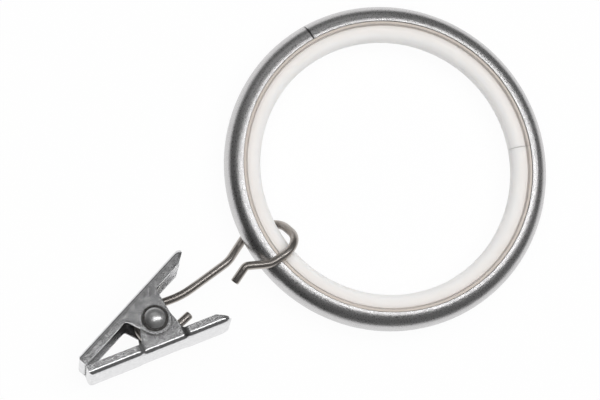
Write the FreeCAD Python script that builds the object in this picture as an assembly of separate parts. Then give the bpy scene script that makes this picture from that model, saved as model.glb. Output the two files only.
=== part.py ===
"""Curtain ring with a hanging clip, lying on its side.

Millimetres. The ring's axis is Z, its centre is the origin, and the hook and the clip lie towards -Y.
"""
import FreeCAD
import Part
import math
import os
from FreeCAD import Vector

# Ring: a rolled channel, C-shaped in section, with its open side towards the rod
CHANNEL_D = 5.1
CHANNEL_WALL = 0.5
CHANNEL_HALF_ANGLE = 97.0
BUTT_GAP = 0.3
BUTT_ANGLE = 176.0

# Liner: a nylon ring whose root fills the channel and whose nose runs on the rod
LINER_BORE_D = 43.0
LINER_DEPTH = 3.4
LINER_BAND = 1.6
LINER_FIT = 0.05
NOSE_HALF_HEIGHT = 2.0
NOSE_SHOULDER = 1.1
LIP_WIDTH = 0.35
LIP_HALF_HEIGHT = 2.42
LINER_GROOVE_DEPTH = 0.3
LINER_JOINT = 0.06
LINER_JOINT_ANGLE = 64.5

# Hook: one bent wire, listed from the eye on the rivet to the tail beyond the ring
WIRE_D = 1.4
WIRE_CLEARANCE = 0.15
EYE_CLEARANCE = 0.4
EYE_SIDE = 2.15
EYE_FLARE = 0.7
EYE_BEND_R = 1.5
EYE_TAIL_REACH = 6.25
EYE_TAIL_PINCH = 0.55
SHANK_X = -1.95
SHANK_START = 6.7
SHANK_LENGTH = 15.0
SHANK_BEND_R = 8.0
S_BEND_SHIFT = 0.9
S_BEND_GAP = 2.85
S_BEND_R = 3.0
UNDER_BEND_R = 1.5
LOOP_LEAN_ANGLE = 47.6
LOOP_X = -0.7
LOOP_REACH_IN = 1.6
KINK_X = 0.78
KINK_BEYOND_RING = 2.65
KINK_R = 0.9
TAIL_RUN = 2.95
TAIL_SIDE = 1.15
TAIL_DROP = 0.7
EYE_ROUND_SHARE = 0.97
LOOP_ROUND_SHARE = 0.84

# Clip: two pressed channels on one rivet
CLIP_X = -0.45
CLIP_Z = 0.85
CLIP_ROLL_ANGLE = 8.0
CLIP_WIDTH = 8.8
SHEET = 0.5
JAW_LENGTH = 24.7
JAW_PIVOT_ALONG = 13.05
JAW_PIVOT_DEPTH = 4.95
FLANGE = 1.85
EAR_R = 2.6
EAR_FRONT = 9.6
EAR_REAR = 16.8
EAR_ROOT_R = 0.5
HANDLE_TAPER = 2.3
HANDLE_TIP_DEPTH = 0.7
HANDLE_CORNER_R = 1.6
BEND_INNER_R = 0.3
JOGGLE_FRONT = 8.9
JOGGLE_REAR = 17.3
JOGGLE_RUN = 0.8
JOGGLE_R = 0.7
EAR_CLEARANCE = 0.1
MOUTH_GAP = 0.12
TOOTH_COUNT = 5
TOOTH_DEPTH = 0.35

# Rivet and spring
RIVET_D = 2.2
RIVET_FIT = 0.05
HEAD_D = 3.4
HEAD_HEIGHT = 0.85
HEAD_SEAT = 0.04
HEAD_RECESS_D = 4.3
HEAD_RECESS = 0.12
SPRING_WIRE_D = 0.7
SPRING_FIT = 0.2
SPRING_COIL_COUNT = 2.75
SPRING_GAP = 0.03
SPRING_REACH = 6.5
SPRING_SEAT = 0.05
SPRING_KNEE_R = 0.38

# Values that follow from the sizes above
CHANNEL_R = CHANNEL_D / 2
BORE_R = LINER_BORE_D / 2
RING_R = BORE_R + LINER_DEPTH
RING_OUTER_D = 2 * (RING_R + CHANNEL_R)
WIRE_R = WIRE_D / 2
RIVET_R = RIVET_D / 2
HALF_WIDTH = CLIP_WIDTH / 2
EAR_HALF_WIDTH = HALF_WIDTH - SHEET - EAR_CLEARANCE
EYE_R = RIVET_R + EYE_CLEARANCE + WIRE_R
JAW_ANGLE = math.degrees(math.atan2(JAW_PIVOT_DEPTH - FLANGE - MOUTH_GAP / 2, JAW_PIVOT_ALONG))
SPRING_WIRE_R = SPRING_WIRE_D / 2
SPRING_R = RIVET_R + SPRING_FIT + SPRING_WIRE_R
SPRING_PITCH = SPRING_WIRE_D + SPRING_GAP
HOOK_LEVEL = -(EAR_HALF_WIDTH - SHEET - WIRE_CLEARANCE - WIRE_R)
LOOP_HALF = (CHANNEL_R + WIRE_R + WIRE_CLEARANCE) / math.sin(math.radians(LOOP_LEAN_ANGLE))
SHANK_END = RING_R + CHANNEL_R + S_BEND_GAP
PIVOT = Vector(CLIP_X, -(SHANK_END + SHANK_LENGTH + EYE_R), CLIP_Z)

Z_AXIS = Vector(0, 0, 1)
ORIGIN = Vector(0, 0, 0)
FULL_ANGLE = 360.0
TINY = 1e-6


def polar(radius, degrees, centre=0.0):
    """A point of a section: radius and angle about (centre, 0), in the XZ plane."""
    angle = math.radians(degrees)
    return Vector(centre + radius * math.cos(angle), 0, radius * math.sin(angle))


def closed_face(edges):
    return Part.Face(Part.Wire(edges))


def line(start, end):
    return Part.LineSegment(start, end).toShape()


def arc(start, middle, end):
    return Part.Arc(start, middle, end).toShape()


def radial_slit(width, degrees):
    """A thin upright wall through one side of the ring, to cut a butt joint."""
    reach = RING_OUTER_D
    slit = Part.makeBox(reach, width, reach, Vector(0, -width / 2, -reach / 2))
    slit.rotate(ORIGIN, Z_AXIS, degrees)
    return slit


def make_metal_ring():
    end = CHANNEL_HALF_ANGLE
    inner_r = CHANNEL_R - CHANNEL_WALL
    outer = [polar(CHANNEL_R, angle, RING_R) for angle in (-end, 0, end)]
    inner = [polar(inner_r, angle, RING_R) for angle in (end, 0, -end)]
    section = closed_face([arc(*outer), line(outer[2], inner[0]), arc(*inner), line(inner[2], outer[0])])
    return section.revolve(ORIGIN, Z_AXIS, FULL_ANGLE).cut(radial_slit(BUTT_GAP, BUTT_ANGLE))


def make_ring_liner():
    root_r = CHANNEL_R - CHANNEL_WALL - LINER_FIT
    root_angle = CHANNEL_HALF_ANGLE + math.degrees(LINER_FIT / root_r)
    root = polar(root_r, root_angle, RING_R)
    lip_outer = RING_R + CHANNEL_R * math.cos(math.radians(CHANNEL_HALF_ANGLE)) - 2 * LINER_FIT
    lip_inner = lip_outer - LIP_WIDTH
    shoulder = RING_R - NOSE_SHOULDER
    groove_z = NOSE_HALF_HEIGHT - LINER_GROOVE_DEPTH
    band_z = LINER_BAND / 2
    nose_in = BORE_R + (shoulder - BORE_R) * (1 - math.cos(math.radians(45)))
    nose_up = band_z + (NOSE_HALF_HEIGHT - band_z) * math.sin(math.radians(45))
    upper = [
        root,
        Vector(lip_outer, 0, LIP_HALF_HEIGHT),
        Vector(lip_inner, 0, LIP_HALF_HEIGHT),
        Vector((lip_inner + shoulder) / 2, 0, groove_z),
        Vector(shoulder, 0, NOSE_HALF_HEIGHT),
        Vector(BORE_R, 0, band_z),
    ]
    lower = [Vector(point.x, 0, -point.z) for point in upper]
    edges = [arc(lower[0], polar(root_r, 0, RING_R), upper[0])]
    for side, z_sign in ((upper, 1), (lower, -1)):
        edges += [line(a, b) for a, b in zip(side[:4], side[1:5])]
        edges.append(arc(side[4], Vector(nose_in, 0, z_sign * nose_up), side[5]))
    edges.append(line(upper[5], lower[5]))
    section = closed_face(Part.__sortEdges__(edges))
    return section.revolve(ORIGIN, Z_AXIS, FULL_ANGLE).cut(radial_slit(LINER_JOINT, LINER_JOINT_ANGLE))


def rounded_path(corners, radii):
    """Straight runs joined by tangent arcs, as a wire former bends them."""
    edges = []
    start = corners[0]
    for before, corner, after, radius in zip(corners, corners[1:], corners[2:], radii):
        into = (before - corner).normalize()
        away = (after - corner).normalize()
        half = into.getAngle(away) / 2
        setback = radius / math.tan(half)
        middle = corner + (into + away).normalize() * (radius / math.sin(half) - radius)
        edges.append(line(start, corner + into * setback))
        edges.append(arc(corner + into * setback, middle, corner + away * setback))
        start = corner + away * setback
    edges.append(line(start, corners[-1]))
    return Part.Wire(edges)


def sweep_wire(path, radius):
    first = path.Edges[0]
    start = first.valueAt(first.FirstParameter)
    heading = first.tangentAt(first.FirstParameter)
    profile = Part.Wire(Part.makeCircle(radius, start, heading))
    return path.makePipeShell([profile], True, False)


def on_clip(shape):
    """Turn a piece built about the rivet into the clip's place."""
    placed = shape.copy()
    placed.rotate(ORIGIN, Vector(0, 1, 0), -CLIP_ROLL_ANGLE)
    placed.translate(PIVOT)
    return placed


def clip_point(x, y, z):
    turn = FreeCAD.Rotation(Vector(0, 1, 0), -CLIP_ROLL_ANGLE)
    return turn.multVec(Vector(x, y, z)) + PIVOT


def make_hook_wire():
    lean_x = LOOP_HALF * math.cos(math.radians(LOOP_LEAN_ANGLE))
    lean_z = LOOP_HALF * math.sin(math.radians(LOOP_LEAN_ANGLE))
    loop_end = -(BORE_R - LOOP_REACH_IN)
    kink_y = -(RING_R + CHANNEL_R + KINK_BEYOND_RING)
    round_eye = EYE_R * EYE_ROUND_SHARE
    round_loop = LOOP_HALF * LOOP_ROUND_SHARE
    bends = [
        (clip_point(EYE_R, EYE_SIDE, HOOK_LEVEL), EYE_BEND_R),
        (clip_point(EYE_R, -EYE_R, HOOK_LEVEL), round_eye),
        (clip_point(-EYE_R, -EYE_R, HOOK_LEVEL), round_eye),
        (clip_point(-EYE_R - EYE_FLARE, EYE_SIDE, HOOK_LEVEL), EYE_BEND_R),
        (Vector(SHANK_X, PIVOT.y + SHANK_START, PIVOT.z + HOOK_LEVEL), SHANK_BEND_R),
        (Vector(SHANK_X - S_BEND_SHIFT, -SHANK_END, -lean_z / 2), S_BEND_R),
        (Vector(LOOP_X - lean_x, -(RING_R + WIRE_D), -lean_z), UNDER_BEND_R),
        (Vector(LOOP_X - lean_x, loop_end, -lean_z), round_loop),
        (Vector(LOOP_X + lean_x, loop_end, lean_z), round_loop),
        (Vector(KINK_X, kink_y, lean_z), KINK_R),
    ]
    eye_tail = clip_point(EYE_R - EYE_TAIL_PINCH, EYE_TAIL_REACH, HOOK_LEVEL)
    loop_tail = Vector(KINK_X + TAIL_SIDE, kink_y - TAIL_RUN, lean_z - TAIL_DROP)
    corners = [eye_tail] + [corner for corner, radius in bends] + [loop_tail]
    path = rounded_path(corners, [radius for corner, radius in bends])
    wire = sweep_wire(path, WIRE_R)
    print("hook wire length", round(path.Length, 2), "volume", round(wire.Volume, 2),
          "section times length", round(math.pi * WIRE_R ** 2 * path.Length, 2))
    return wire


def jaw_side_outline():
    """Outline of a jaw's flanges: along is measured from the tip, depth from the back of the web."""
    pivot = Vector(JAW_PIVOT_ALONG, JAW_PIVOT_DEPTH, 0)
    front = Vector(EAR_FRONT, FLANGE, 0)
    rear = Vector(EAR_REAR, FLANGE, 0)

    def touch(corner, side):
        reach = corner - pivot
        turn = math.atan2(reach.y, reach.x) + side * math.acos(EAR_R / reach.Length)
        return pivot + Vector(math.cos(turn), math.sin(turn), 0) * EAR_R

    front_touch = touch(front, -1)
    rear_touch = touch(rear, 1)
    tip_top = Vector(0, 0, 0)
    tip_bottom = Vector(0, FLANGE, 0)
    taper = Vector(JAW_LENGTH - HANDLE_TAPER, FLANGE, 0)
    end_bottom = Vector(JAW_LENGTH, HANDLE_TIP_DEPTH, 0)
    end_top = Vector(JAW_LENGTH, 0, 0)
    profile = [
        line(tip_top, tip_bottom),
        line(tip_bottom, front),
        line(front, front_touch),
        arc(front_touch, pivot + Vector(0, EAR_R, 0), rear_touch),
        line(rear_touch, rear),
        line(rear, taper),
        line(taper, end_bottom),
        line(end_bottom, end_top),
        line(end_top, tip_top),
    ]
    return closed_face(profile)


def jaw_plan(inset, ear_half_width, start, end, deep):
    """Plan of a jaw drawn down in depth, inset from its outside, narrowed between joggles at the ears."""
    wide = HALF_WIDTH - inset
    narrow = ear_half_width - inset
    stations = [(start, wide), (end, wide)]
    if narrow < wide:
        joggles = [
            (JOGGLE_FRONT, wide),
            (JOGGLE_FRONT + JOGGLE_RUN, narrow),
            (JOGGLE_REAR - JOGGLE_RUN, narrow),
            (JOGGLE_REAR, wide),
        ]
        stations[1:1] = joggles
    right = [Vector(along, 0, half) for along, half in stations]
    left = [Vector(along, 0, -half) for along, half in reversed(stations)]
    points = right + left
    plan = Part.Face(Part.makePolygon(points + points[:1])).extrude(Vector(0, deep, 0))
    if narrow < wide:
        outer_bends = [edge for edge in plan.Edges if is_upright_at(edge, (JOGGLE_FRONT, JOGGLE_REAR))]
        plan = plan.makeFillet(JOGGLE_R + SHEET - inset, outer_bends)
        feet = (JOGGLE_FRONT + JOGGLE_RUN, JOGGLE_REAR - JOGGLE_RUN)
        inner_bends = [edge for edge in plan.Edges if is_upright_at(edge, feet)]
        plan = plan.makeFillet(JOGGLE_R + inset, inner_bends)
    return plan


def make_jaw(ear_half_width):
    """A pressed channel in its own frame: X along, Y depth, Z across."""
    deep = JAW_PIVOT_DEPTH + 2 * EAR_R
    block = jaw_side_outline().extrude(Vector(0, 0, CLIP_WIDTH)).translated(Vector(0, 0, -HALF_WIDTH))
    roots = [edge for edge in block.Edges if is_ear_root(edge)]
    block = block.makeFillet(EAR_ROOT_R, roots)
    outside = jaw_plan(0, ear_half_width, 0, JAW_LENGTH, deep)
    handle_corners = [edge for edge in outside.Edges if is_upright_at(edge, (JAW_LENGTH,))]
    outside = outside.makeFillet(HANDLE_CORNER_R, handle_corners)
    jaw = block.common(outside).removeSplitter()
    jaw = jaw.makeFillet(BEND_INNER_R + SHEET, [edge for edge in jaw.Edges if is_back_bend(edge, 0)])
    inside = jaw_plan(SHEET, ear_half_width, SHEET, JAW_LENGTH + SHEET, deep)
    inside = inside.makeFillet(BEND_INNER_R, [edge for edge in inside.Edges if is_back_bend(edge, 0)])
    jaw = jaw.cut(inside.translated(Vector(0, SHEET, 0)))
    hole = Part.makeCylinder(RIVET_R + RIVET_FIT, 2 * CLIP_WIDTH,
                             Vector(JAW_PIVOT_ALONG, JAW_PIVOT_DEPTH, -CLIP_WIDTH), Z_AXIS)
    return jaw.cut(hole).cut(lip_teeth())


def edge_ends(edge):
    return edge.Vertexes[0].Point, edge.Vertexes[-1].Point


def is_ear_root(edge):
    """True for the cross edges where the ear runs into the plain flange."""
    start, end = edge_ends(edge)
    across = abs(start.x - end.x) < TINY and abs(start.y - end.y) < TINY
    at_root = min(abs(start.x - EAR_FRONT), abs(start.x - EAR_REAR)) < TINY
    return across and at_root


def is_upright_at(edge, stations):
    """True for the edges that run in depth at one of the given places along the jaw."""
    start, end = edge_ends(edge)
    upright = abs(start.x - end.x) < TINY and abs(start.z - end.z) < TINY
    return upright and min(abs(start.x - along) for along in stations) < TINY


def is_back_bend(edge, depth):
    """True for the edges between the web's back and the flanges and lip, at the given depth."""
    start, end = edge_ends(edge)
    at_depth = abs(start.y - depth) < TINY and abs(end.y - depth) < TINY
    return at_depth and max(start.x, end.x) < JAW_LENGTH - TINY


def lip_teeth():
    """Notches along the clamping edge of the front lip."""
    pitch = (CLIP_WIDTH - 2 * SHEET) / TOOTH_COUNT
    notches = []
    for index in range(TOOTH_COUNT):
        middle = (index + 0.5 - TOOTH_COUNT / 2) * pitch
        points = [
            Vector(-SHEET, FLANGE + TOOTH_DEPTH, middle - pitch / 2),
            Vector(-SHEET, FLANGE - TOOTH_DEPTH, middle),
            Vector(-SHEET, FLANGE + TOOTH_DEPTH, middle + pitch / 2),
        ]
        notch = Part.Face(Part.makePolygon(points + points[:1])).extrude(Vector(2 * SHEET, 0, 0))
        notches.append(notch)
    return Part.makeCompound(notches)


def head_recesses():
    """Shallow round seats pressed into the outer ears for the rivet's heads."""
    seats = []
    for side in (-1, 1):
        floor = Vector(JAW_PIVOT_ALONG, JAW_PIVOT_DEPTH, side * (HALF_WIDTH - HEAD_RECESS))
        seats.append(Part.makeCylinder(HEAD_RECESS_D / 2, SHEET, floor, Z_AXIS * side))
    return Part.makeCompound(seats)


def place_lower(jaw):
    """Set a jaw beside the rivet, on the +X side, mouth towards -Y."""
    placed = jaw.translated(Vector(-JAW_PIVOT_ALONG, -JAW_PIVOT_DEPTH, 0))
    placed.rotate(ORIGIN, Z_AXIS, 90 - JAW_ANGLE)
    return placed


def place_upper(jaw):
    placed = place_lower(jaw)
    placed.rotate(ORIGIN, Vector(0, 1, 0), 180)
    return placed


def make_pivot_rivet():
    seat = HALF_WIDTH - HEAD_RECESS + HEAD_SEAT
    head_r = HEAD_D / 2
    rim = HEAD_HEIGHT / 4
    rise = HEAD_HEIGHT - rim
    dome_r = (head_r ** 2 + rise ** 2) / (2 * rise)
    half_rise = dome_r - math.sqrt(dome_r ** 2 - (head_r / 2) ** 2)
    right = [
        Vector(0, 0, -(seat + HEAD_HEIGHT)),
        Vector(head_r / 2, 0, -(seat + HEAD_HEIGHT - half_rise)),
        Vector(head_r, 0, -(seat + rim)),
        Vector(head_r, 0, -seat),
        Vector(RIVET_R, 0, -seat),
    ]
    far = [Vector(point.x, 0, -point.z) for point in right]
    edges = [
        arc(*right[:3]),
        line(right[2], right[3]),
        line(right[3], right[4]),
        line(right[4], far[4]),
        line(far[4], far[3]),
        line(far[3], far[2]),
        arc(far[2], far[1], far[0]),
        line(far[0], right[0]),
    ]
    return closed_face(edges).revolve(ORIGIN, Z_AXIS, FULL_ANGLE)


def make_torsion_spring():
    """A coil round the rivet, beside the hook's eye, with one leg under each handle."""
    web_inside = (JAW_PIVOT_DEPTH - SHEET) / math.cos(math.radians(JAW_ANGLE))
    web_inside += SPRING_REACH * math.tan(math.radians(JAW_ANGLE))
    leg_x = web_inside - (SPRING_WIRE_R + SPRING_SEAT) / math.cos(math.radians(JAW_ANGLE))
    reach = math.hypot(leg_x, SPRING_REACH)
    leg_turn = math.degrees(math.atan2(SPRING_REACH, leg_x) - math.acos(SPRING_R / reach))
    top = EAR_HALF_WIDTH - SHEET - SPRING_KNEE_R - SPRING_GAP
    sweep_turns = SPRING_COIL_COUNT + (180 - 2 * leg_turn) / FULL_ANGLE
    height = sweep_turns * SPRING_PITCH
    helix = Part.makeHelix(SPRING_PITCH, height, SPRING_R)
    helix.rotate(ORIGIN, Z_AXIS, leg_turn)
    helix.translate(Vector(0, 0, top - height))
    start = helix.OrderedVertexes[0].Point
    end = helix.OrderedVertexes[-1].Point
    spring = sweep_wire(helix, SPRING_WIRE_R)
    for knee, side in ((start, 1), (end, -1)):
        run = Vector(side * leg_x, SPRING_REACH, knee.z) - knee
        spring = spring.fuse(Part.makeSphere(SPRING_KNEE_R, knee))
        spring = spring.fuse(Part.makeCylinder(SPRING_WIRE_R, run.Length, knee, run))
    return spring


def main():
    lower = make_jaw(EAR_HALF_WIDTH)
    upper = make_jaw(HALF_WIDTH).cut(head_recesses())
    nodes = {
        "metal_ring": make_metal_ring(),
        "ring_liner": make_ring_liner(),
        "hook_wire": make_hook_wire(),
        "lower_jaw": on_clip(place_lower(lower)),
        "upper_jaw": on_clip(place_upper(upper)),
        "pivot_rivet": on_clip(make_pivot_rivet()),
        "torsion_spring": on_clip(make_torsion_spring()),
    }
    os.makedirs("parts", exist_ok=True)
    for name, shape in nodes.items():
        shape.exportStep("parts/" + name + ".step")
        box = shape.BoundBox
        print(name, "solids", len(shape.Solids), "valid", shape.isValid(), "volume", round(shape.Volume, 2),
              "box", [round(v, 2) for v in (box.XMin, box.YMin, box.ZMin, box.XMax, box.YMax, box.ZMax)])
    print("pivot", PIVOT, "jaw angle", round(JAW_ANGLE, 3))


main()
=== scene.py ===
# %% [markdown]
# # A curtain ring with a clip
# The ring, its nylon liner, the two jaws of the clip and the rivet come in as exact solids and keep their
# shapes. This lesson sets the camera, the white table and the light, gives each metal and plastic its own
# finish, and models two pieces anew: the bent hook and the coiled spring. Loading the solids first fixes
# the scale, so every later number is in real metres.

# %% Load the solids
import math

import bmesh
import bpy
from mathutils import Matrix, Vector


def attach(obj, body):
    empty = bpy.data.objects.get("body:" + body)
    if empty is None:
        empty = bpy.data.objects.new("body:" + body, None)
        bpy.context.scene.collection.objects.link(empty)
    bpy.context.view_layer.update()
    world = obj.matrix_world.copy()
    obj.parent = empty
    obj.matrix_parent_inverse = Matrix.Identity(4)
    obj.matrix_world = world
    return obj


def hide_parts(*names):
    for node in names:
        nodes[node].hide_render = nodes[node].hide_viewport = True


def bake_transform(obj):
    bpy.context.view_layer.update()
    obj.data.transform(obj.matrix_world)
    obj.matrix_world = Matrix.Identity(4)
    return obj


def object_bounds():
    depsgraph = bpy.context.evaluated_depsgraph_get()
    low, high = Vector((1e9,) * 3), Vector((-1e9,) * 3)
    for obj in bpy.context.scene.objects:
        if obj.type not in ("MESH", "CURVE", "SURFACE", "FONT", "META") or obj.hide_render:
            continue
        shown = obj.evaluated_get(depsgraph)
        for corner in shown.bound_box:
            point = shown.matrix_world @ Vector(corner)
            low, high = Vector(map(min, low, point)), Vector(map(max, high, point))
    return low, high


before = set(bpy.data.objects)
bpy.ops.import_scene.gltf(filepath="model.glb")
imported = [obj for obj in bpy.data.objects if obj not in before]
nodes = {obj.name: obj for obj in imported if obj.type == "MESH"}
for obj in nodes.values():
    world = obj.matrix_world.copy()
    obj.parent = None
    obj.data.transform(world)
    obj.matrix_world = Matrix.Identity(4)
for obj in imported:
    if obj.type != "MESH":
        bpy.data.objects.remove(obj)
cad_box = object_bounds()
print("solids:", sorted(nodes))

# %% [markdown]
# ## The camera
# The photograph looks down on the table from about 16 degrees off the vertical, through a long lens, with
# the ring turned so that the clip hangs to the lower left. Building the camera from its own three axes
# keeps that turn exact. A look-at constraint would aim it, but would choose the turn by itself.

# %% Camera
CAMERA_DISTANCE = 0.42
CAMERA_LENS = 150.9
SENSOR_WIDTH = 36.0
NEAREST_SEEN = 0.01
TOWARDS_CAMERA = Vector((0.02092, -0.27484, 0.96126))
PICTURE_RIGHT = Vector((0.57156, 0.79215, 0.21405))
PICTURE_UP = Vector((-0.82029, 0.54494, 0.17366))
AIM_RIGHT = -0.01446
AIM_UP = -0.0054

camera_place = TOWARDS_CAMERA * CAMERA_DISTANCE
aim = PICTURE_RIGHT * AIM_RIGHT + PICTURE_UP * AIM_UP
back = (camera_place - aim).normalized()
right = PICTURE_UP.cross(back).normalized()
up = back.cross(right)
camera_turn = Matrix((right, up, back)).transposed()
camera_data = bpy.data.cameras.new("camera")
camera_data.lens = CAMERA_LENS
camera_data.sensor_width = SENSOR_WIDTH
camera_data.clip_start = NEAREST_SEEN
camera = bpy.data.objects.new("camera", camera_data)
bpy.context.collection.objects.link(camera)
camera.matrix_world = Matrix.Translation(camera_place) @ camera_turn.to_4x4()
bpy.context.scene.camera = camera
bpy.context.scene.view_settings.view_transform = "Standard"
print("camera at", [round(v, 4) for v in camera_place])

# %% [markdown]
# ## Small helpers for node materials
# A finish is a handful of nodes wired together. It could be wired by hand in the editor, but a script can
# be read and run again. These helpers make a node with its values, wire two sockets, and start a
# material.

# %% Node helpers
def set_input(node, key, value):
    """Set one input of a node, named with underscores for spaces."""
    node.inputs[key.replace("_", " ")].default_value = value


def add_node(tree, kind, **values):
    """A node of the given kind, with its settings and its named inputs filled in."""
    node = tree.nodes.new(kind)
    for key, value in values.items():
        if hasattr(node, key):
            setattr(node, key, value)
        else:
            set_input(node, key, value)
    return node


def join(tree, source, target):
    """Wire an output to an input."""
    tree.links.new(source, target)


def plug(tree, value, target):
    """Fill an input from another socket or with a plain number."""
    if isinstance(value, (int, float)):
        target.default_value = value
    else:
        join(tree, value, target)


def math_node(tree, operation, first, second=None, clamp=False):
    """The result of a sum on sockets or plain numbers."""
    node = add_node(tree, "ShaderNodeMath", operation=operation, use_clamp=clamp)
    plug(tree, first, node.inputs[0])
    if second is not None:
        plug(tree, second, node.inputs[1])
    return node.outputs[0]


def new_material(name, **values):
    """A material, its nodes and its shader, with the shader's own values set."""
    material = bpy.data.materials.new(name)
    material.use_nodes = True
    shader = material.node_tree.nodes["Principled BSDF"]
    for key, value in values.items():
        set_input(shader, key, value)
    return material, material.node_tree, shader


def dress(node_name, material):
    """Give one solid its finish."""
    mesh = nodes[node_name].data
    mesh.materials.clear()
    mesh.materials.append(material)
    print(node_name, "wears", material.name)


print("node helpers are ready")

# %% [markdown]
# ## The table
# The ring lies on a white sheet. Its edges are far outside the picture, so one large square is enough. It
# is put at the height of the lowest solid.

# %% Table sheet
TABLE_SIZE = 3.0

table_mesh = bpy.data.meshes.new("table")
table_bm = bmesh.new()
bmesh.ops.create_grid(table_bm, x_segments=1, y_segments=1, size=TABLE_SIZE / 2)
bmesh.ops.translate(table_bm, verts=table_bm.verts, vec=(0, 0, cad_box[0].z))
table_bm.to_mesh(table_mesh)
table_bm.free()
table = bpy.data.objects.new("table", table_mesh)
bpy.context.collection.objects.link(table)
print("table at height", round(cad_box[0].z, 5))

# %% [markdown]
# ## White of the table
# A sheet lit until it is white would bleach the object too. So the camera, and the metal that mirrors the
# sheet, see most of it as plain white. The rest is ordinary diffuse white, so a faint contact shadow
# stays.

# %% White table
TABLE_WHITE = (0.9, 0.9, 0.9, 1)
PLAIN_WHITE = (1, 1, 1, 1)
TABLE_GLOW_SHARE = 0.95

table_finish, tree, shader = new_material("white_table", Base_Color=TABLE_WHITE, Roughness=0.6)
glow = add_node(tree, "ShaderNodeEmission", Color=PLAIN_WHITE, Strength=1.0)
paths = add_node(tree, "ShaderNodeLightPath")
seen = math_node(tree, "ADD", paths.outputs["Is Camera Ray"], paths.outputs["Is Glossy Ray"])
seen_all = math_node(tree, "ADD", seen, paths.outputs["Is Transmission Ray"], clamp=True)
mix = add_node(tree, "ShaderNodeMixShader")
join(tree, math_node(tree, "MULTIPLY", seen_all, TABLE_GLOW_SHARE), mix.inputs[0])
join(tree, shader.outputs[0], mix.inputs[1])
join(tree, glow.outputs[0], mix.inputs[2])
join(tree, mix.outputs[0], tree.nodes["Material Output"].inputs["Surface"])
table_mesh.materials.append(table_finish)
print("table seen as white by a share of", TABLE_GLOW_SHARE)

# %% [markdown]
# ## The light
# Metal shows what is around it. One long strip of light over the ring draws the bright stripe along it,
# and a weaker strip, further towards the top of the picture, adds to the sides that face it. A wide fill
# lifts the nylon and the table to a plain level. Metal would mirror it as a white sky, so it is hidden
# from mirror rays.

# %% Soft boxes
FLOOR_RIGHT = Vector((PICTURE_RIGHT.x, PICTURE_RIGHT.y, 0)).normalized()
FLOOR_UP = Vector((PICTURE_UP.x, PICTURE_UP.y, 0)).normalized()
OVERHEAD = Vector((0, 0, 1))


def soft_box(name, tilt_right, tilt_up, distance, width, length, watts, turn=0.0):
    """An area lamp that faces the ring, placed by tilts from overhead and turned in its own plane."""
    lamp = bpy.data.lights.new(name, "AREA")
    lamp.shape = "RECTANGLE"
    lamp.size = width
    lamp.size_y = length
    lamp.energy = watts
    box = bpy.data.objects.new(name, lamp)
    bpy.context.collection.objects.link(box)
    sideways = math.tan(math.radians(tilt_right))
    upwards = math.tan(math.radians(tilt_up))
    towards = (FLOOR_RIGHT * sideways + FLOOR_UP * upwards + OVERHEAD).normalized()
    across = FLOOR_UP.cross(towards).normalized()
    along = towards.cross(across)
    facing = Matrix((across, along, towards)).transposed() @ Matrix.Rotation(math.radians(turn), 3, "Z")
    box.matrix_world = Matrix.Translation(towards * distance) @ facing.to_4x4()
    print(name, "at", [round(v, 3) for v in towards * distance])
    return box


soft_box("strip_light", tilt_right=9, tilt_up=7, distance=0.55, width=0.62, length=0.085, watts=0.64, turn=8)
soft_box("far_strip", tilt_right=-14, tilt_up=42, distance=0.55, width=0.44, length=0.12, watts=0.066,
         turn=20)
fill = soft_box("fill", tilt_right=0, tilt_up=0, distance=1.0, width=1.5, length=1.5, watts=11.6)
fill.visible_glossy = False

# %% [markdown]
# ## The room
# Between the lamps the metal mirrors the room, which makes the dark bands beside the bright stripe. One
# grey all round would make them alike. In the photograph they are darkest towards the lower left, so the
# room dims smoothly on that side.

# %% Dim room
ROOM_LEVEL = 0.131
DIM_SIDE_LEVEL = 0.041
DIM_LEAN = 0.7
DIM_START = 0.35
DIM_FULL = 0.95

world = bpy.data.worlds.new("room")
bpy.context.scene.world = world
world.use_nodes = True
room = world.node_tree
heading = add_node(room, "ShaderNodeTexCoord")
facing = add_node(room, "ShaderNodeVectorMath", operation="DOT_PRODUCT")
facing.inputs[1].default_value = -(FLOOR_RIGHT + FLOOR_UP * DIM_LEAN).normalized()
dim = add_node(room, "ShaderNodeMapRange", interpolation_type="SMOOTHSTEP", From_Min=DIM_START,
               From_Max=DIM_FULL, To_Min=ROOM_LEVEL, To_Max=DIM_SIDE_LEVEL)
join(room, heading.outputs["Generated"], facing.inputs[0])
join(room, facing.outputs["Value"], dim.inputs["Value"])
join(room, dim.outputs["Result"], room.nodes["Background"].inputs["Strength"])
set_input(room.nodes["Background"], "Color", PLAIN_WHITE)
print("room level from", ROOM_LEVEL, "to", DIM_SIDE_LEVEL)

# %% [markdown]
# ## Shared effects
# Four surface effects are node groups with named inputs. Each is built once, and a finish places it with
# its own values. Streaks, speckle and scratches come next, and the distance from the rivet comes with the
# jaws.

# %% Group helpers
VALUE = "NodeSocketFloat"
VECTOR = "NodeSocketVector"
FULL_RANGE = (0.0, 1.0)


def new_group(name, inputs, outputs):
    """An empty shader group with named value or vector sockets, and its two ends."""
    group = bpy.data.node_groups.new(name, "ShaderNodeTree")
    for label, kind in inputs:
        group.interface.new_socket(label, in_out="INPUT", socket_type=kind)
    for label, kind in outputs:
        group.interface.new_socket(label, in_out="OUTPUT", socket_type=kind)
    print("group", name, "gives", [label for label, kind in outputs])
    return group, group.nodes.new("NodeGroupInput"), group.nodes.new("NodeGroupOutput")


def spread(tree, value, old_range, new_range=FULL_RANGE):
    """Stretch the part of a value that lies in one range over another."""
    node = add_node(tree, "ShaderNodeMapRange", From_Min=old_range[0], From_Max=old_range[1],
                    To_Min=new_range[0], To_Max=new_range[1])
    join(tree, value, node.inputs["Value"])
    return node.outputs["Result"]


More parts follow.
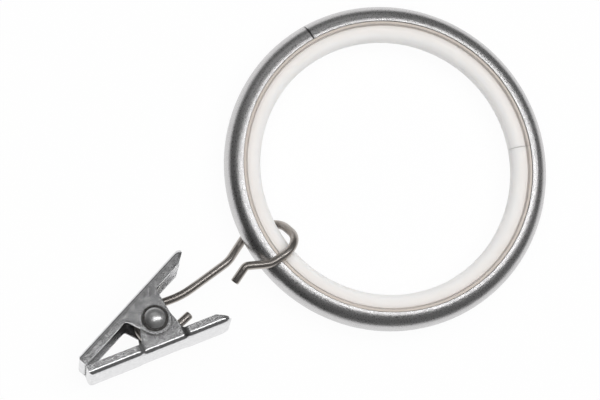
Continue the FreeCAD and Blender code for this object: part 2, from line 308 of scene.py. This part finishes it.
def noise(tree, vector, scale, detail, roughness=0.5):
    """Cloudy noise, with its scale a socket or a plain number."""
    node = add_node(tree, "ShaderNodeTexNoise", Detail=detail, Roughness=roughness)
    join(tree, vector, node.inputs["Vector"])
    plug(tree, scale, node.inputs["Scale"])
    return node.outputs["Fac"]


print("group helpers are ready")

# %% [markdown]
# ## Streaks round the ring
# A brush that goes round the ring leaves fine streaks along it. Noise stretched along an axis would cut
# straight across, so the ring is unrolled first: the angle round its centre runs one way, and the angle
# round its section the other. The first angle has to jump somewhere, and a small turn puts the jump into
# the ring's gap.

# %% Streaks
RING_CENTRE_R = 0.0249
SEAM_TURN = math.radians(4.0)

streaks, s_in, s_out = new_group(
    "brushed_streaks", [("Vector", VECTOR), ("Along", VALUE), ("Across", VALUE)],
    [("Streak", VALUE), ("Radius", VALUE)])
turned = add_node(streaks, "ShaderNodeVectorRotate", rotation_type="Z_AXIS", Angle=SEAM_TURN)
join(streaks, s_in.outputs["Vector"], turned.inputs["Vector"])
parts = add_node(streaks, "ShaderNodeSeparateXYZ")
join(streaks, turned.outputs[0], parts.inputs[0])
around = math_node(streaks, "ARCTAN2", parts.outputs["Y"], parts.outputs["X"])
flat_x = math_node(streaks, "MULTIPLY", parts.outputs["X"], parts.outputs["X"])
flat_y = math_node(streaks, "MULTIPLY", parts.outputs["Y"], parts.outputs["Y"])
radius = math_node(streaks, "SQRT", math_node(streaks, "ADD", flat_x, flat_y))
outward = math_node(streaks, "SUBTRACT", radius, RING_CENTRE_R)
section = math_node(streaks, "ARCTAN2", parts.outputs["Z"], outward)
unrolled = add_node(streaks, "ShaderNodeCombineXYZ")
join(streaks, math_node(streaks, "MULTIPLY", around, s_in.outputs["Along"]), unrolled.inputs["X"])
join(streaks, math_node(streaks, "MULTIPLY", section, s_in.outputs["Across"]), unrolled.inputs["Y"])
streak = noise(streaks, unrolled.outputs[0], scale=1.0, detail=3.0, roughness=0.6)
join(streaks, streak, s_out.inputs["Streak"])
join(streaks, radius, s_out.inputs["Radius"])

# %% [markdown]
# ## Speckle of tumbled plating
# Small parts that are plated and tumbled have a fine, even grain with broader patches in it. Two noises
# of different scale give both. Plain noise stays near its middle value, so each is stretched to its full
# range.

# %% Speckle
GRAIN_RANGE = (0.3, 0.7)
PATCH_RANGE = (0.35, 0.65)

speckle, p_in, p_out = new_group(
    "tumbled_speckle", [("Vector", VECTOR), ("Grain", VALUE), ("Patch", VALUE)],
    [("Speckle", VALUE), ("Patches", VALUE)])
fine = noise(speckle, p_in.outputs["Vector"], p_in.outputs["Grain"], detail=3.0, roughness=0.65)
broad = noise(speckle, p_in.outputs["Vector"], p_in.outputs["Patch"], detail=2.0)
join(speckle, spread(speckle, fine, GRAIN_RANGE), p_out.inputs["Speckle"])
join(speckle, spread(speckle, broad, PATCH_RANGE), p_out.inputs["Patches"])

# %% [markdown]
# ## Scratches in mixed directions
# In the tumbling drum, parts leave short thin lines on each other. Noise that is pulled long and cut off
# near its peaks leaves such lines, and turned copies of it cross them. Cutting them into the mesh would
# be far too heavy.

# %% Scratches
SCRATCH_TURNS = (17.0, 71.0, 128.0)
SCRATCH_TILT = (0.2, 0.3)
SCRATCH_LONG = 260.0
SCRATCH_FINE = 5200.0
SCRATCH_PEAKS = (0.66, 0.74)

scratches, c_in, c_out = new_group("fine_scratches", [("Vector", VECTOR)], [("Scratch", VALUE)])
lines = None
for turn in SCRATCH_TURNS:
    pulled = add_node(scratches, "ShaderNodeMapping", Rotation=(*SCRATCH_TILT, math.radians(turn)),
                      Scale=(SCRATCH_LONG, SCRATCH_FINE, SCRATCH_LONG))
    join(scratches, c_in.outputs["Vector"], pulled.inputs["Vector"])
    mark = spread(scratches, noise(scratches, pulled.outputs[0], scale=1.0, detail=1.0), SCRATCH_PEAKS)
    lines = mark if lines is None else math_node(scratches, "MAXIMUM", lines, mark)
join(scratches, lines, c_out.inputs["Scratch"])

# %% [markdown]
# ## Building a metal
# Each metal takes two greys and two roughness values, and a pattern that moves between them. A Bump node
# on the same pattern breaks up the edges of the reflections, which is what tells satin from mirror. Where
# a surface is hemmed in, its colour is darkened there as painted shade.

# %% Metal helpers
HEMMED_RANGE = (0.35, 0.95)


def use_group(tree, group, stretch=None, **values):
    """A group placed in object coordinates, which may be stretched along the axes."""
    node = add_node(tree, "ShaderNodeGroup", node_tree=group)
    for label, value in values.items():
        set_input(node, label, value)
    place = add_node(tree, "ShaderNodeTexCoord").outputs["Object"]
    if stretch:
        pulled = add_node(tree, "ShaderNodeMapping", Scale=stretch)
        join(tree, place, pulled.inputs["Vector"])
        place = pulled.outputs["Vector"]
    join(tree, place, node.inputs["Vector"])
    return node


def weigh(tree, first, first_share, second, second_share):
    """The sum of two patterns, each with its share."""
    return math_node(tree, "ADD", math_node(tree, "MULTIPLY", first, first_share),
                     math_node(tree, "MULTIPLY", second, second_share))


def blend_colours(tree, factor, first, second):
    """Mix two colours, each a socket or a plain colour."""
    node = add_node(tree, "ShaderNodeMix", data_type="RGBA")
    join(tree, factor, node.inputs["Factor"])
    colour_inputs = [item for item in node.inputs if item.type == "RGBA"]
    for colour_input, value in zip(colour_inputs, (first, second)):
        if isinstance(value, tuple):
            colour_input.default_value = (*value, 1)
        else:
            join(tree, value, colour_input)
    return [item for item in node.outputs if item.type == "RGBA"][0]


def paint_crevice_shade(tree, colour, dark, reach):
    """Paint shade: darken a colour where other surfaces stand close by."""
    hemmed = add_node(tree, "ShaderNodeAmbientOcclusion", samples=8, Distance=reach)
    return blend_colours(tree, spread(tree, hemmed.outputs["AO"], HEMMED_RANGE), dark, colour)


def add_bump(tree, shader, height, strength, depth, edge_round=0.0):
    """Raise the surface by a pattern, over edges that are rounded a little if asked."""
    bump = add_node(tree, "ShaderNodeBump", Strength=strength, Distance=depth)
    join(tree, height, bump.inputs["Height"])
    if edge_round:
        soft_edge = add_node(tree, "ShaderNodeBevel", samples=6, Radius=edge_round)
        join(tree, soft_edge.outputs["Normal"], bump.inputs["Normal"])
    join(tree, bump.outputs["Normal"], shader.inputs["Normal"])


print("metal helpers are ready")

# %% [markdown]
# ## Satin steel of the ring
# The channel is brushed as it turns, so its streaks run round the ring and a fine grain sits over them.
# An even grey with one roughness would look too clean, so the streaks move both.

# %% Satin steel
SATIN_DARK = (0.512, 0.506, 0.512)
SATIN_LIGHT = (0.756, 0.747, 0.744)
SATIN_ROUGHNESS = (0.24, 0.38)
MIDDLE_RANGE = (0.3, 0.7)

satin, tree, shader = new_material("satin_steel", Metallic=1.0)
brush = use_group(tree, streaks, Along=5.0, Across=60.0)
grain = use_group(tree, speckle, Grain=4200.0, Patch=220.0)
tone = weigh(tree, brush.outputs["Streak"], 0.6, grain.outputs["Speckle"], 0.4)
brushed = spread(tree, brush.outputs["Streak"], MIDDLE_RANGE)
join(tree, blend_colours(tree, brushed, SATIN_DARK, SATIN_LIGHT), shader.inputs["Base Color"])
join(tree, spread(tree, tone, MIDDLE_RANGE, SATIN_ROUGHNESS), shader.inputs["Roughness"])
add_bump(tree, shader, tone, strength=0.6, depth=0.00002)
dress("metal_ring", satin)

# %% [markdown]
# ## Nylon of the liner
# Nylon is milky: light goes a little way in and comes out warm. Subsurface light gives that, where plain
# white paint would look like chalk. It is painted greyer towards the shoulder as shade, a thin lip next to
# the steel is tan, and inside the channel, seen through the gap, it is painted dark as shade.

# %% Nylon
NOSE_R = 0.0222
SHOULDER_R = 0.0241
LIP_R = 0.02412
ROOT_R = 0.0246
EDGE = 0.00006
NOSE_WARM = (0.965, 0.94, 0.915)
NOSE_WHITE = (0.99, 0.975, 0.955)
SHOULDER_PAINTED_SHADE = (0.70, 0.66, 0.63)
LIP_TAN = (0.62, 0.55, 0.49)
ROOT_PAINTED_SHADE = (0.02, 0.02, 0.02)

nylon, tree, shader = new_material("nylon", Roughness=0.36, IOR=1.53, Subsurface_Weight=0.45,
                                   Subsurface_Radius=(1.0, 0.95, 0.9), Subsurface_Scale=0.0012)
radius = use_group(tree, streaks, Along=2.0, Across=6.0).outputs["Radius"]
cloud = use_group(tree, speckle, Grain=900.0, Patch=90.0)
nose = blend_colours(tree, cloud.outputs["Patches"], NOSE_WARM, NOSE_WHITE)
# Painted shade: the nylon greys from the nose out to the shoulder.
body = blend_colours(tree, spread(tree, radius, (NOSE_R, SHOULDER_R)), nose, SHOULDER_PAINTED_SHADE)
lipped = blend_colours(tree, spread(tree, radius, (LIP_R - EDGE, LIP_R + EDGE)), body, LIP_TAN)
# Painted shade: inside the channel, seen through the gap, the nylon is dark.
rooted = blend_colours(tree, spread(tree, radius, (ROOT_R - EDGE, ROOT_R + EDGE)), lipped, ROOT_PAINTED_SHADE)
join(tree, rooted, shader.inputs["Base Color"])
add_bump(tree, shader, cloud.outputs["Speckle"], strength=0.06, depth=0.00002)
dress("ring_liner", nylon)

# %% [markdown]
# ## Drawn wire of the hook
# Wire pulled through a die is darker and browner than the plated parts, with a soft sheen along it. The
# speckle is stretched along the shank, as drawing stretches the metal.

# %% Drawn wire
WIRE_DARK = (0.45, 0.415, 0.385)
WIRE_LIGHT = (0.52, 0.485, 0.455)
WIRE_PAINTED_SHADE = (0.16, 0.14, 0.125)
WIRE_ROUGHNESS = (0.29, 0.33)

wire, tree, shader = new_material("drawn_wire", Metallic=1.0)
drawn = use_group(tree, speckle, stretch=(1.0, 0.15, 1.0), Grain=2200.0, Patch=600.0)
plain = blend_colours(tree, drawn.outputs["Patches"], WIRE_DARK, WIRE_LIGHT)
# Painted shade: the wire's colour darkens where other surfaces stand close.
join(tree, paint_crevice_shade(tree, plain, WIRE_PAINTED_SHADE, reach=0.0012), shader.inputs["Base Color"])
join(tree, spread(tree, drawn.outputs["Speckle"], FULL_RANGE, WIRE_ROUGHNESS), shader.inputs["Roughness"])
add_bump(tree, shader, drawn.outputs["Patches"], strength=0.03, depth=0.00003, edge_round=0.0002)
print("finish of the hook:", wire.name)

# %% [markdown]
# ## Shape of the hook
# The hook is one wire, bent on pins by hand or machine: the eye round the rivet, the shank, the loop
# round the ring and the short tail. It could be a curve with a bevel, but corners with a bend radius at
# each, as on a bending plan, keep the runs straight and the bends round.

# %% Bending plan
MM = 0.001
STEPS_PER_RADIAN = 14
FEWEST_STEPS = 4
HOOK_BENDS = (
    ((1.525, -41.25, -1.347), 0.0),
    ((2.07, -45.35, -1.27), 1.5),
    ((2.07, -49.7, -1.27), 2.134),
    ((-2.288, -49.7, -1.882), 2.134),
    ((-2.981, -45.35, -1.98), 1.5),
    ((-1.75, -40.6, -1.6), 13.0),
    ((-2.05, -30.9, -1.7), 4.5),
    ((-3.805, -26.3, -3.4), 1.5),
    ((-3.805, -19.9, -3.4), 3.868),
    ((2.405, -19.9, 3.4), 3.868),
    ((2.35, -26.3, 3.4), 4.0),
    ((0.28, -30.04, 3.4), 0.9),
    ((1.43, -33.0, 2.7), 0.0),
)


def bent_line(bends):
    """Points along straight runs and round arcs, from corners in millimetres with a bend radius each."""
    corners = [Vector(place) * MM for place, bend in bends]
    points = [corners[0]]
    for index in range(1, len(corners) - 1):
        corner = corners[index]
        to_last = (corners[index - 1] - corner).normalized()
        to_next = (corners[index + 1] - corner).normalized()
        half_angle = to_last.angle(to_next) / 2
        bend = bends[index][1] * MM
        centre = corner + (to_last + to_next).normalized() * bend / math.sin(half_angle)
        run_in = (corner + to_last * bend / math.tan(half_angle) - centre).normalized()
        run_out = (corner + to_next * bend / math.tan(half_angle) - centre).normalized()
        steps = max(FEWEST_STEPS, round((math.pi - 2 * half_angle) * STEPS_PER_RADIAN))
        points += [centre + run_in.slerp(run_out, step / steps) * bend for step in range(steps + 1)]
    return points + [corners[-1]]


hook_line = bent_line(HOOK_BENDS)
hook_length = sum((after - before).length for before, after in zip(hook_line, hook_line[1:]))
print("hook wire length:", round(hook_length / MM, 1), "mm")

# %% [markdown]
# ## Starting and ending a wire
# The hook and the spring are both round wires that end in a plain cut with its edge broken. So one helper
# starts a wire as a circle square to its run, one finds the rim that an extrusion made, and one closes
# the ends.

# %% Wire helpers
def start_wire(place, heading, sides, radius):
    """A new mesh with one circle, square to the wire's run."""
    wire_bm = bmesh.new()
    facing = heading.to_track_quat("Z", "Y").to_matrix().to_4x4()
    bmesh.ops.create_circle(wire_bm, segments=sides, radius=radius, matrix=Matrix.Translation(place) @ facing)
    return wire_bm


def rim_of(grown):
    """The new rim's vertices and edges, from what an extrusion made."""
    verts = [item for item in grown if isinstance(item, bmesh.types.BMVert)]
    edges = [item for item in grown if isinstance(item, bmesh.types.BMEdge)]
    return verts, [edge for edge in edges if all(vert in verts for vert in edge.verts)]


def close_wire(wire_bm, name, sides, end_round, material):
    """Cap both ends, break their edges and make the object."""
    caps = bmesh.ops.holes_fill(wire_bm, edges=wire_bm.edges[:], sides=sides)["faces"]
    cap_edges = [edge for face in caps for edge in face.edges]
    bmesh.ops.bevel(wire_bm, geom=cap_edges, offset=end_round, segments=3, affect="EDGES", profile=0.5,
                    material=-1)
    bmesh.ops.recalc_face_normals(wire_bm, faces=wire_bm.faces[:])
    for face in wire_bm.faces:
        face.smooth = True
    mesh = bpy.data.meshes.new(name)
    wire_bm.to_mesh(mesh)
    wire_bm.free()
    mesh.materials.append(material)
    piece = bpy.data.objects.new(name, mesh)
    bpy.context.collection.objects.link(piece)
    print(name, "faces:", len(mesh.polygons))
    return piece


print("wire helpers are ready")

# %% [markdown]
# ## Drawing the hook along its line
# The circle is extruded from point to point. At each point it turns only as far as the line does, so the
# wire never twists or pinches. The finished hook rides the hook's body in place of its solid.

# %% Extrude the hook
HOOK_WIRE_R = 0.0007
HOOK_SIDES = 24
HOOK_END_ROUND = 0.00022

heading = (hook_line[1] - hook_line[0]).normalized()
hook_bm = start_wire(hook_line[0], heading, HOOK_SIDES, HOOK_WIRE_R)
rim_edges = hook_bm.edges[:]
for index in range(1, len(hook_line)):
    rim_verts, rim_edges = rim_of(bmesh.ops.extrude_edge_only(hook_bm, edges=rim_edges)["geom"])
    after = hook_line[min(index + 1, len(hook_line) - 1)]
    new_heading = (after - hook_line[index - 1]).normalized()
    turn = heading.rotation_difference(new_heading).to_matrix().to_4x4()
    step = Matrix.Translation(hook_line[index]) @ turn @ Matrix.Translation(-hook_line[index - 1])
    bmesh.ops.transform(hook_bm, matrix=step, verts=rim_verts)
    heading = new_heading
hook = close_wire(hook_bm, "hook_bent_wire", HOOK_SIDES, HOOK_END_ROUND, wire)
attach(hook, "hook")
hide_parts("hook_wire")

# %% [markdown]
# ## Seat of the rivet
# The jaws are painted dark in a narrow ring under the rim of the rivet's head, as its shadow.
# The ring is found by the distance from the rivet's axis: the cross product of a point's offset with the
# axis is as long as that distance.

# %% Distance from the rivet
CLIP_ROLL = math.radians(8)
RIVET_PLACE = (-0.00045, -0.0475, 0.00085)
RIVET_AXIS = (-math.sin(CLIP_ROLL), 0.0, math.cos(CLIP_ROLL))

rivet_distance, d_in, d_out = new_group("rivet_distance", [("Vector", VECTOR)], [("Distance", VALUE)])
offset = add_node(rivet_distance, "ShaderNodeVectorMath", operation="SUBTRACT")
offset.inputs[1].default_value = RIVET_PLACE
crossed = add_node(rivet_distance, "ShaderNodeVectorMath", operation="CROSS_PRODUCT")
crossed.inputs[1].default_value = RIVET_AXIS
length = add_node(rivet_distance, "ShaderNodeVectorMath", operation="LENGTH")
join(rivet_distance, d_in.outputs["Vector"], offset.inputs[0])
join(rivet_distance, offset.outputs["Vector"], crossed.inputs[0])
join(rivet_distance, crossed.outputs["Vector"], length.inputs[0])
join(rivet_distance, length.outputs["Value"], d_out.inputs["Distance"])

# %% [markdown]
# ## Tumbled steel of the jaws
# The jaws are pressed from sheet and tumbled smooth. They keep a fine speckle, faint patches and many
# short scratches, and their cut edges are slightly rounded, so a light line runs along each of them.

# %% Tumbled steel
JAW_DARK = (0.58, 0.58, 0.592)
JAW_LIGHT = (0.875, 0.875, 0.88)
JAW_ROUGHNESS = (0.16, 0.27)
SCRATCH_BRIGHT = (0.88, 0.88, 0.88)
SCRATCH_SHARE = 0.5
JAW_PAINTED_SHADE = (0.10, 0.095, 0.09)
SEAT_R = 0.00222
SEAT_EDGE = 0.00008
SEAT_SHADOW_SHARE = 0.9

jaw_steel, tree, shader = new_material("tumbled_steel", Metallic=1.0)
grain = use_group(tree, speckle, Grain=4000.0, Patch=1300.0)
marks = use_group(tree, scratches)
tone = weigh(tree, grain.outputs["Speckle"], 0.7, grain.outputs["Patches"], 0.3)
scratched = math_node(tree, "MULTIPLY", marks.outputs["Scratch"], SCRATCH_SHARE)
worn = blend_colours(tree, scratched, blend_colours(tree, tone, JAW_DARK, JAW_LIGHT), SCRATCH_BRIGHT)
# Painted shade: the jaws darken where other surfaces stand close.
shaded = paint_crevice_shade(tree, worn, JAW_PAINTED_SHADE, reach=0.0016)
from_rivet = use_group(tree, rivet_distance).outputs["Distance"]
# Painted shadow: a narrow dark ring round the rivet's head.
seat_shadow = spread(tree, from_rivet, (SEAT_R + SEAT_EDGE, SEAT_R - SEAT_EDGE))
seated = blend_colours(tree, math_node(tree, "MULTIPLY", seat_shadow, SEAT_SHADOW_SHARE), shaded, JAW_PAINTED_SHADE)
join(tree, seated, shader.inputs["Base Color"])
join(tree, spread(tree, tone, FULL_RANGE, JAW_ROUGHNESS), shader.inputs["Roughness"])
height = math_node(tree, "SUBTRACT", tone, scratched)
add_bump(tree, shader, height, strength=0.2, depth=0.00002, edge_round=0.0001)
dress("lower_jaw", jaw_steel)
dress("upper_jaw", jaw_steel)

# %% [markdown]
# ## Polished rivet
# The rivet's head is pressed to a dome by a smooth tool, so it is the palest metal here and has no
# scratches. Its soft highlight comes from a nearly even roughness.

# %% Rivet
RIVET_DARK = (0.86, 0.86, 0.86)
RIVET_LIGHT = (0.95, 0.95, 0.945)
RIVET_ROUGHNESS = (0.29, 0.36)

rivet, tree, shader = new_material("polished_rivet", Metallic=1.0)
grain = use_group(tree, speckle, Grain=3000.0, Patch=900.0)
polished = blend_colours(tree, grain.outputs["Patches"], RIVET_DARK, RIVET_LIGHT)
join(tree, polished, shader.inputs["Base Color"])
join(tree, spread(tree, grain.outputs["Speckle"], FULL_RANGE, RIVET_ROUGHNESS), shader.inputs["Roughness"])
add_bump(tree, shader, grain.outputs["Patches"], strength=0.15, depth=0.00003)
dress("pivot_rivet", rivet)

# %% [markdown]
# ## Shape of the spring
# The spring is one round wire: a leg, three turns and a bit, and the other leg. Both legs leave the coil
# along its tangent. Spinning a circle while it rises makes the turns in one step, where a chain of
# cylinders would show joints.

# %% Spring shape
SPRING_WIRE_R = 0.00035
SPRING_SIDES = 16
SPRING_R = 0.00165
SPRING_LOW = 0.000396
SPRING_RISE = 0.002494
SPRING_TURNS = 3
STEPS_PER_TURN = 40
LEG_TURN = math.radians(30.08)
LEG_LENGTH = 0.00845

clip_place = Matrix.Translation(RIVET_PLACE) @ Matrix.Rotation(-CLIP_ROLL, 4, "Y")
first_run = Vector((math.sin(LEG_TURN), math.cos(LEG_TURN), 0))
second_run = Vector((-first_run.x, first_run.y, 0))
coil_start = Vector((SPRING_R * math.cos(LEG_TURN), -SPRING_R * math.sin(LEG_TURN), SPRING_LOW))
sweep = math.tau * SPRING_TURNS + math.pi - 2 * LEG_TURN
steps = round(sweep / math.tau * STEPS_PER_TURN)

spring_bm = start_wire(coil_start + first_run * LEG_LENGTH, first_run, SPRING_SIDES, SPRING_WIRE_R)
rim_verts, rim_edges = rim_of(bmesh.ops.extrude_edge_only(spring_bm, edges=spring_bm.edges[:])["geom"])
bmesh.ops.translate(spring_bm, verts=rim_verts, vec=-first_run * LEG_LENGTH)
coil = bmesh.ops.spin(spring_bm, geom=rim_verts + rim_edges, cent=(0, 0, 0), axis=(0, 0, 1), angle=-sweep,
                      dvec=(0, 0, SPRING_RISE / steps), steps=steps)
last_edges = [item for item in coil["geom_last"] if isinstance(item, bmesh.types.BMEdge)]
rim_verts, rim_edges = rim_of(bmesh.ops.extrude_edge_only(spring_bm, edges=last_edges)["geom"])
bmesh.ops.translate(spring_bm, verts=rim_verts, vec=second_run * LEG_LENGTH)
bmesh.ops.transform(spring_bm, matrix=clip_place, verts=spring_bm.verts[:])
print("spring turns:", round(sweep / math.tau, 2))

# %% [markdown]
# ## Finish of the spring
# Spring wire is a plain mid grey. One leg stays with the lower jaw and the other turns with the upper jaw.
# On either jaw alone, one leg would be left behind when the clip opens.

# %% Spring finish
SPRING_DARK = (0.41, 0.405, 0.40)
SPRING_LIGHT = (0.61, 0.604, 0.598)
SPRING_ROUGHNESS = (0.26, 0.38)
SPRING_END_ROUND = 0.00008

spring_wire, tree, shader = new_material("spring_wire", Metallic=1.0)
grain = use_group(tree, speckle, Grain=4200.0, Patch=500.0)
sprung = blend_colours(tree, grain.outputs["Patches"], SPRING_DARK, SPRING_LIGHT)
join(tree, sprung, shader.inputs["Base Color"])
join(tree, spread(tree, grain.outputs["Speckle"], FULL_RANGE, SPRING_ROUGHNESS), shader.inputs["Roughness"])
spring = close_wire(spring_bm, "spring_coil", SPRING_SIDES, SPRING_END_ROUND, spring_wire)
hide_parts("torsion_spring")
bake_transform(spring)
